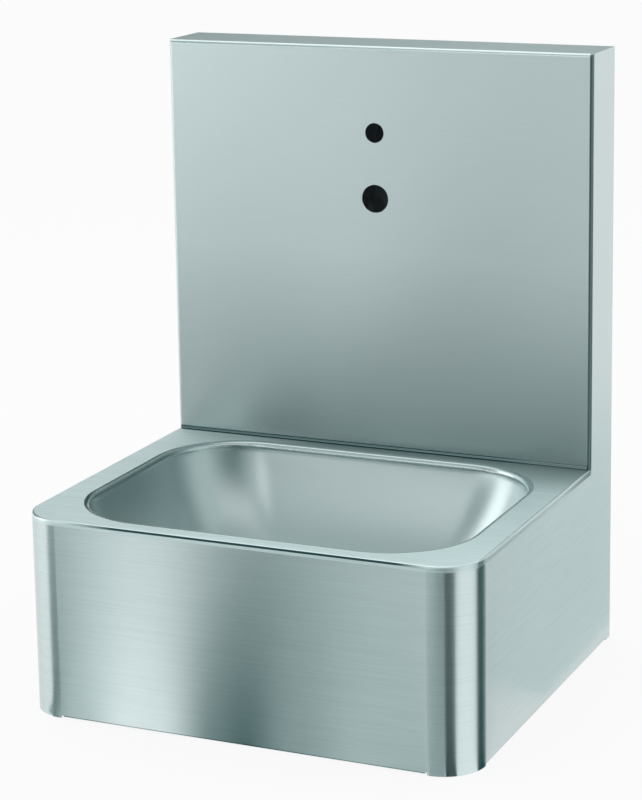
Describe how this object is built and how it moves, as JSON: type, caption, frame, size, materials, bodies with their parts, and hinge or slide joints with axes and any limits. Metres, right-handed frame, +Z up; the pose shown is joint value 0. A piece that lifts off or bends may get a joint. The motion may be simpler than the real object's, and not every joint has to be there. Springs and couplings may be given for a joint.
{
  "type": "wall-hung hand basin",
  "caption": "Wall-hung stainless steel hand basin: deep bowl in a flat deck, apron with rounded front corners and a tall box splashback with open spout and sensor holes.",
  "frame": {"origin": "centre of the four wall fixings, on the wall plane", "axes": "+Z up, +Y into the wall, -Y towards the user, +X to the right as the user sees it"},
  "size_m": [0.4, 0.36, 0.534],
  "materials": {
    "satin_steel": "satin",
    "bracket_steel": "matte",
    "fastener_steel": "satin",
    "strainer_steel": "polished",
    "waste_chrome": "polished",
    "nut_brass": "satin",
    "seal_rubber": "matte",
    "pad_rubber": "matte",
    "washer_plastic": "matte"
  },
  "bodies": {
    "wall_bracket": {"wall_plate": "bracket_steel", "plate_hook_rail": "bracket_steel", "plate_lock_rail": "bracket_steel", "locking_screws": "fastener_steel", "locking_washers": "fastener_steel"},
    "basin": {"apron": "satin_steel", "splashback": "satin_steel", "deck": "satin_steel", "bowl": "satin_steel", "sound_pads": "pad_rubber", "hanging_rail": "bracket_steel", "tie_bar": "bracket_steel", "weld_nuts": "fastener_steel", "earth_stud": "fastener_steel", "earth_washer": "fastener_steel", "earth_nut": "fastener_steel", "waste_body": "waste_chrome", "waste_upper_seal": "seal_rubber", "waste_lower_seal": "seal_rubber", "waste_friction_washer": "washer_plastic", "waste_backnut": "nut_brass"},
    "strainer": {"strainer_plate": "strainer_steel", "strainer_screw": "fastener_steel"}
  },
  "joints": [
    {"name": "basin_lift", "type": "slide", "parent": "wall_bracket", "child": "basin", "axis": [0, 0, 1], "range_m": [0, 0.016]},
    {"name": "strainer_lift", "type": "slide", "parent": "basin", "child": "strainer", "axis": [0, 0, 1], "range_m": [0, 0.15]}
  ]
}
